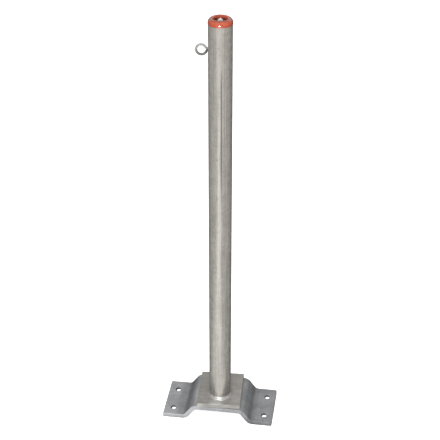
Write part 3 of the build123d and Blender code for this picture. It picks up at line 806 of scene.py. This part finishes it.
def radial_plug(r, out0, out1, z, n=40):
    """Cylinder along the eye's shank, to open its hole in the tube."""
    verts, faces = [], []
    for o in (out0, out1):
        for k in range(n):
            a = TAU * k / n
            verts.append(place(-o, r * math.cos(a), z + r * math.sin(a)))
    for k in range(n):
        m = (k + 1) % n
        faces.append((k, m, n + m, n + k))
    faces.append(tuple(range(n)))
    faces.append(tuple(range(n, 2 * n)))
    return build("cutter", verts, faces, None, blank, None)


cut(tube_o, [radial_plug(3.25, 17.0, 30.0, 877.0)])

# ---------------------------------------------------------------- weld at the tube's foot
LEG = 5.0


def weld_outline():
    n = 14
    out = [(TUBE_R - 0.25, FOOT_TOP - 0.15)]
    out += [(TUBE_R + LEG * 0.5, FOOT_TOP - 0.15)]
    for i in range(n + 1):
        f = i / n
        # toe to top, a little crowned near the toe and hollow near the tube
        r = TUBE_R + LEG * (1 - f) ** 1.15
        z = FOOT_TOP + (LEG + 1.2) * f ** 1.25
        out.append((r, z))
    out.append((TUBE_R - 0.25, FOOT_TOP + LEG + 1.2))
    return out


WELD = weld_outline()


def weld_warp(r, z, a, i):
    if i < 2 or i == len(WELD) - 1:
        return r, z
    f = clamp((z - FOOT_TOP) / (LEG + 1.2))
    deg = math.degrees(a)
    beat = a * 58 / TAU * TAU + 1.8 * math.sin(math.pi * f) + 1.2 * lump(math.cos(a) * 9, math.sin(a) * 9, 0, 5, 2.0)
    ripple = 0.08 * math.sin(beat) * math.sin(math.pi * clamp(f * 0.9 + 0.08)) ** 0.6
    wide = 0.5 * lump(math.cos(a) * 24, math.sin(a) * 24, 0, 13, 5.0) + 0.22 * lump(math.cos(a) * 24, math.sin(a) * 24, 0, 4, 3.0)
    grow = wide * (1 - f) - 0.25 * wide * f
    crown = 0.55 * math.sin(math.pi * f)
    # where the run starts and stops, at the back right
    stop = 0.7 * math.exp(-((deg - 52) / 7.0) ** 2) * math.sin(math.pi * clamp(f + 0.1))
    dr = (ripple + crown + stop) * 0.75 + grow
    dz = (ripple + crown + stop) * 0.6 + 0.5 * wide * f
    if i == 2:
        return r + dr, FOOT_TOP - 0.02
    return r + dr, z + dz


weld_o = lathe("foot_weld_bead", WELD, 348, "post", weld_bead, "foot_weld", weld_warp, sharp=60)

# ---------------------------------------------------------------- cap
CAP_R, CREST_R, BAND_TOP, CAP_TOP, FALL = 24.6, 16.8, 935.0, 944.0, math.radians(36.0)
LIP = (CREST_R - math.sin(FALL), CAP_TOP - (1 - math.cos(FALL)))
BORE_R, THROAT_R = 14.0, 11.2
BORE_Z = LIP[1] - (LIP[0] - BORE_R) * math.tan(FALL)
taper = (BORE_R - THROAT_R) / (BORE_Z - 916.0)
under = CAP_TOP - 6.0
shoulder = []
for i in range(0, 21):
    g = math.radians(90.0 * i / 20)
    shoulder.append((CREST_R + 7.8 * math.cos(g), BAND_TOP + 9.0 * math.sin(g)))
cap_outline = trace(
    (21.5, 918.0), (21.5, 931.9, 2.0), (21.9, 932.02, 0.5), (CAP_R - 0.35, 932.02, 0.8), (CAP_R, 932.4, 0.3), (CAP_R, BAND_TOP, 0.6),
    *shoulder[1:],
    ("arc", (CREST_R, CAP_TOP - 1.0), 1.0, 90, 126),
    (BORE_R + 0.5, BORE_Z + 0.5 * math.tan(FALL), 0.6), (BORE_R + 0.12, BORE_Z + 0.12, 0.4), (BORE_R - 0.02, BORE_Z - 0.4, 0.4),
    (THROAT_R, 916.0, 1.5), (13.6, 916.0, 1.0), (13.6 + taper * (under - 916.0), under, 3.0), (18.35, under, 1.0),
    (19.25, under - 3.0, 1.0), (19.25, 918.0, 3.0), (21.5, 918.0, 1.0), size=0.6)


def cap_warp(r, z, a, i):
    if z > 932.5:
        px, py = r * math.cos(a), r * math.sin(a)
        d = 0.05 * lump(px, py, z, 12, 4.0) + 0.02 * lump(px, py, z, 3, 1.0)
        return r + d, z + 0.6 * d
    return r, z


cap_o = lathe("cap_ring_form", cap_outline, 168, "post", red_plastic, "cap_ring", cap_warp, sharp=50)

# ---------------------------------------------------------------- bent-wire eye with its threaded shank
EYE_OUT, EYE_Z, RING, WIRE, DROP = 37.0, 878.5, 10.25, 2.5, 1.5
START = TUBE_R - 0.15
LEVEL = EYE_Z - DROP
REACH = EYE_OUT - START
NECK = (REACH ** 2 + DROP ** 2 - RING ** 2) / (2 * (RING - DROP))
FIRST = math.degrees(math.atan2(DROP + NECK, REACH))
LAST, KINK_R, KINK, LEG_LEN = 285.0, 4.5, 32.0, 10.1


def eye_path():
    """(out, z, heading, radius, threaded) along the wire."""
    pts = []
    d = 0.0
    while d < 10.9 - 0.06:                       # threaded shank
        r = 3.0 - (0.6 - d if d < 0.6 else 0.0)
        pts.append((12.5 + d, LEVEL, 0.0, r, 1.0 - ease(9.3, 10.4, d)))
        d += 0.125
    pts.append((23.4, LEVEL, 0.0, 2.9, 0.0))
    pts.append((23.7, LEVEL, 0.0, 2.6, 0.0))
    for i in range(0, 15):                       # tight bend on to the ring
        g = math.radians((90 - FIRST) * i / 15)
        pts.append((START + NECK * math.sin(g), LEVEL - NECK * (1 - math.cos(g)), -g, WIRE, 0.0))
    n = 96
    for i in range(0, n):                        # round the ring
        g = math.radians(FIRST + (LAST - FIRST) * i / n)
        pts.append((EYE_OUT - RING * math.cos(g), EYE_Z - RING * math.sin(g), g - math.pi / 2, WIRE, 0.0))
    heading = math.radians(LAST - 90)
    gx, gz = EYE_OUT - RING * math.cos(math.radians(LAST)), EYE_Z - RING * math.sin(math.radians(LAST))
    mx, mz = gx - KINK_R * math.sin(heading), gz + KINK_R * math.cos(heading)
    for i in range(0, 8):                        # small bend into the leg
        g = heading - math.pi / 2 + math.radians(KINK * i / 8)
        pts.append((mx + KINK_R * math.cos(g), mz + KINK_R * math.sin(g), g + math.pi / 2, WIRE, 0.0))
    g = heading - math.pi / 2 + math.radians(KINK)
    kx, kz = mx + KINK_R * math.cos(g), mz + KINK_R * math.sin(g)
    h = math.radians(LAST - 90 + KINK)
    for i in range(0, 9):
        q = LEG_LEN * i / 9
        pts.append((kx + q * math.cos(h), kz + q * math.sin(h), h, WIRE, 0.0))
    for q, r in ((LEG_LEN - 0.7, 2.42), (LEG_LEN - 0.35, 2.2), (LEG_LEN - 0.1, 1.8), (LEG_LEN, 1.3)):
        pts.append((kx + q * math.cos(h), kz + q * math.sin(h), h, r, 0.0))
    return pts


def eye_form():
    verts, faces, n = [], [], 36
    path = eye_path()
    for j, (o, z, h, r, thr) in enumerate(path):
        ux, uz = -math.sin(h), math.cos(h)       # across the wire, in the eye's plane
        for k in range(n):
            a = TAU * k / n
            rr = r
            if thr > 0:
                p = (o / 1.0 - a / TAU) % 1.0
                rr -= thr * 0.5 * clamp((1 - abs(2 * p - 1) - 0.1) / 0.75)
            else:
                rr += 0.05 * lump(o, z, a * 2, 5, 3.0)
            e, f = rr * math.cos(a), rr * math.sin(a)
            verts.append(place(-(o + ux * e), f, z + uz * e))
    rows = len(path)
    for i in range(rows - 1):
        for k in range(n):
            m = (k + 1) % n
            faces.append((i * n + k, i * n + m, (i + 1) * n + m, (i + 1) * n + k))
    faces.append(tuple(range(n)))
    faces.append(tuple(range((rows - 1) * n, rows * n)))
    return build("eye_bolt_form", verts, faces, "post", zinc_wire, "eye_bolt", 50)


eye_o = eye_form()

# ---------------------------------------------------------------- screw spindle with its thread
def spindle_form():
    rows = []
    z = 12.0
    while z < 56.0:
        rows.append(z)
        z += 0.2
    outline = [(8.0 if z > 13.6 else 5.8 + (z - 12.0) * 2.2 / 1.6, z) for z in rows]
    for g in (108.3, 108.3, 109.4, 109.4, 123.5, 123.5, 124.6, 124.6):
        pass
    low, high = 109.4 - 0.55, 124.6 - 0.55
    outline += [(8.0, 58.0), (8.0, 80.0), (8.0, low), (7.6, low + 0.001), (7.6, low + 1.1), (8.0, low + 1.101),
                (8.0, high), (7.6, high + 0.001), (7.6, high + 1.1), (8.0, high + 1.101)]
    z = 150.0
    while z < 900.0:
        outline.append((8.0, z))
        z += 25.0
    outline += [(8.0, 904.0), (7.0, 905.0)]

    def warp(r, z, a, i):
        cut_in = 1.15 * thread(z, a) * (1 - ease(48.0, 54.0, z))
        if z < 13.6:
            cut_in *= ease(12.0, 13.6, z)
        return r - cut_in if r > 7.7 or z < 13.6 else r, z
    return lathe("spindle_rod_form", outline, 60, "spindle", bright_steel, "spindle_rod", warp, closed=False, sharp=40)


rod_o = spindle_form()


def cross_plug(r, z, reach, n=32):
    verts, faces = [], []
    for y in (-reach, reach):
        for k in range(n):
            a = TAU * k / n
            verts.append(place(r * math.cos(a), y, z + r * math.sin(a)))
    for k in range(n):
        m = (k + 1) % n
        faces.append((k, m, n + m, n + k))
    faces.append(tuple(range(n)))
    faces.append(tuple(range(n, 2 * n)))
    return build("cutter", verts, faces, None, blank, None)


cut(rod_o, [cross_plug(2.5, 58.5, 11.0), cross_plug(2.0, 887.0, 11.0)], 40)

# ---------------------------------------------------------------- studio
floor = bpy.data.objects.new("floor", bpy.data.meshes.new("floor"))
floor.data.from_pydata([(-9, -9, -0.0003), (9, -9, -0.0003), (9, 9, -0.0003), (-9, 9, -0.0003)], [], [(0, 1, 2, 3)])
bpy.context.scene.collection.objects.link(floor)
fm = Mat("floor", rough=0.9)
cloud = fm.noise(700.0, 2, 0.5)
fcol = fm.mix(fm.step(cloud, 0.3, 0.7), (0.90, 0.90, 0.90), (0.92, 0.92, 0.915))
fm.bsdf.inputs["Emission Color"].default_value = (1, 1, 1, 1)
fm.bsdf.inputs["Emission Strength"].default_value = 0.80
fm.bsdf.inputs["Specular IOR Level"].default_value = 0.0
floor.data.materials.append(fm.done(fcol))
floor.visible_glossy = False
floor.visible_diffuse = False
floor.visible_shadow = False

world = bpy.data.worlds.new("studio")
bpy.context.scene.world = world
world.use_nodes = True
wt = world.node_tree
wt.nodes.clear()
w_out = wt.nodes.new("ShaderNodeOutputWorld")
w_bg = wt.nodes.new("ShaderNodeBackground")
w_seen = wt.nodes.new("ShaderNodeBackground")
w_mix = wt.nodes.new("ShaderNodeMixShader")
w_path = wt.nodes.new("ShaderNodeLightPath")
w_co = wt.nodes.new("ShaderNodeTexCoord")
w_sep = wt.nodes.new("ShaderNodeSeparateXYZ")
wt.links.new(w_co.outputs["Generated"], w_sep.inputs[0])


def w_range(sock, a, b, lo, hi):
    n = wt.nodes.new("ShaderNodeMapRange")
    n.interpolation_type = "SMOOTHSTEP"
    wt.links.new(sock, n.inputs["Value"])
    n.inputs["From Min"].default_value, n.inputs["From Max"].default_value = a, b
    n.inputs["To Min"].default_value, n.inputs["To Max"].default_value = lo, hi
    return n.outputs["Result"]


def w_math(op, a, b):
    n = wt.nodes.new("ShaderNodeMath")
    n.operation = op
    for v, s in ((a, n.inputs[0]), (b, n.inputs[1])):
        if isinstance(v, bpy.types.NodeSocket):
            wt.links.new(v, s)
        else:
            s.default_value = v
    return n.outputs[0]


# paler overhead than at the horizon, dimmer behind the object than in front of it
side = w_range(w_sep.outputs[1], -0.9, 0.9, 0.42, 0.13)
height = w_range(w_sep.outputs[2], -0.5, 0.7, 0.40, 1.25)
# and a pale backdrop stands behind, above the object's base
backdrop = w_math("MULTIPLY", w_range(w_sep.outputs[1], 0.25, 0.7, 0.0, 0.68), w_range(w_sep.outputs[2], 0.10, 0.40, 0.0, 1.0))
wt.links.new(w_math("ADD", w_math("MULTIPLY", side, height), backdrop), w_bg.inputs["Strength"])
w_bg.inputs["Color"].default_value = (1.0, 0.995, 0.985, 1)
w_seen.inputs["Color"].default_value = (1, 1, 1, 1)
w_seen.inputs["Strength"].default_value = 1.0
wt.links.new(w_path.outputs["Is Camera Ray"], w_mix.inputs[0])
wt.links.new(w_bg.outputs[0], w_mix.inputs[1])
wt.links.new(w_seen.outputs[0], w_mix.inputs[2])
wt.links.new(w_mix.outputs[0], w_out.inputs[0])


def area(name, at, aim, size, watts, colour=(1, 1, 1), size_y=None):
    data = bpy.data.lights.new(name, "AREA")
    data.energy = watts
    data.color = colour
    data.size = size
    if size_y:
        data.shape = "RECTANGLE"
        data.size_y = size_y
    obj = bpy.data.objects.new(name, data)
    obj.location = at
    obj.rotation_euler = (Vector(aim) - Vector(at)).to_track_quat("-Z", "Y").to_euler()
    bpy.context.scene.collection.objects.link(obj)
    return obj


for soft in (area("lamp_front", (0.02, -2.30, 0.66), (0.0, 0.0, 0.55), 0.30, 25, (1.0, 0.985, 0.96)),
             area("lamp_fill", (-0.3, -2.2, 2.0), (0.0, 0.0, 0.7), 1.0, 13, (1.0, 0.99, 0.97)),
             area("lamp_right", (1.6, -0.9, 1.1), (0.0, 0.0, 0.8), 0.8, 8, (1.0, 0.99, 0.97)),
             area("soft_top", (-0.3, -1.3, 2.7), (0.0, 0.0, 0.3), 2.8, 54, (1.0, 1.0, 1.0))):
    soft.visible_glossy = False


def ground_strip(name, near, far, wide, watts, x=-0.075):
    """A bright strip of the pale ground in front of the post, facing up."""
    mid = (near + far) / 2
    strip = area(name, (x, mid, 0.001), (x, mid, 1.0), wide, watts, (1.0, 1.0, 1.0), abs(far - near))
    strip.rotation_euler = (math.pi, 0.0, 0.0)
    strip.visible_camera = False
    return strip


ground_strip("strip_wide", -1.55, -2.90, 2.2, 14.0, 0.12).visible_diffuse = False
ground_strip("strip_far", -0.62, -1.70, 0.44, 3.9)
ground_strip("strip_mid", -0.32, -0.62, 0.44, 0.68)
ground_strip("strip_near", -0.075, -0.32, 0.44, 0.33)


def snoot(name, at, aim, degrees, watts, radius, blend):
    """A narrow spot that only gives a highlight."""
    data = bpy.data.lights.new(name, "SPOT")
    data.energy = watts
    data.shadow_soft_size = radius
    data.spot_size = math.radians(degrees)
    data.spot_blend = blend
    obj = bpy.data.objects.new(name, data)
    obj.location = at
    obj.rotation_euler = (Vector(aim) - Vector(at)).to_track_quat("-Z", "Y").to_euler()
    obj.visible_diffuse = False
    bpy.context.scene.collection.objects.link(obj)


dot = area("lamp_cap", (0.03, -2.30, 0.50), (0.001, -0.04, 0.936), 0.34, 36)
dot.visible_diffuse = False
shone_on = bpy.data.collections.new("lamp_cap_shines_on")
shone_on.objects.link(cap_o)
dot.light_linking.receiver_collection = shone_on
snoot("snoot_foot", (-0.09, -1.62, 2.0), (-0.002, -0.043, 0.051), 1.9, 190, 0.04, 0.7)

# ---------------------------------------------------------------- camera, as the photograph was taken
PITCH_D, YAW_D, ROLL_D, LAT_D = 30.1025, 8.0693, 0.0463, 0.0137
pit, yaw, rol, lat = (math.radians(v) for v in (PITCH_D, YAW_D, ROLL_D, LAT_D))
fw = Vector((-math.sin(yaw) * math.cos(pit), math.cos(yaw) * math.cos(pit), -math.sin(pit)))
fw = Matrix.Rotation(lat, 3, "Z") @ fw
right = fw.cross(Vector((0, 0, 1))).normalized()
upv = right.cross(fw).normalized()
r2 = right * math.cos(rol) + upv * math.sin(rol)
u2 = upv * math.cos(rol) - right * math.sin(rol)
cam_data = bpy.data.cameras.new("camera")
cam_data.sensor_width = 36.0
cam_data.sensor_fit = "HORIZONTAL"
cam_data.lens = 1231.63 * 36.0 / 440.0
cam_data.clip_start, cam_data.clip_end = 0.05, 60.0
camera = bpy.data.objects.new("camera", cam_data)
camera.matrix_world = Matrix((
    (r2.x, u2.x, -fw.x, 0.3125), (r2.y, u2.y, -fw.y, -2.2129), (r2.z, u2.z, -fw.z, 1.7859), (0, 0, 0, 1)))
bpy.context.scene.collection.objects.link(camera)
bpy.context.scene.camera = camera
bpy.context.scene.view_settings.view_transform = "Standard"
bpy.context.scene.view_settings.look = "None"

bpy.data.materials.remove(blank)
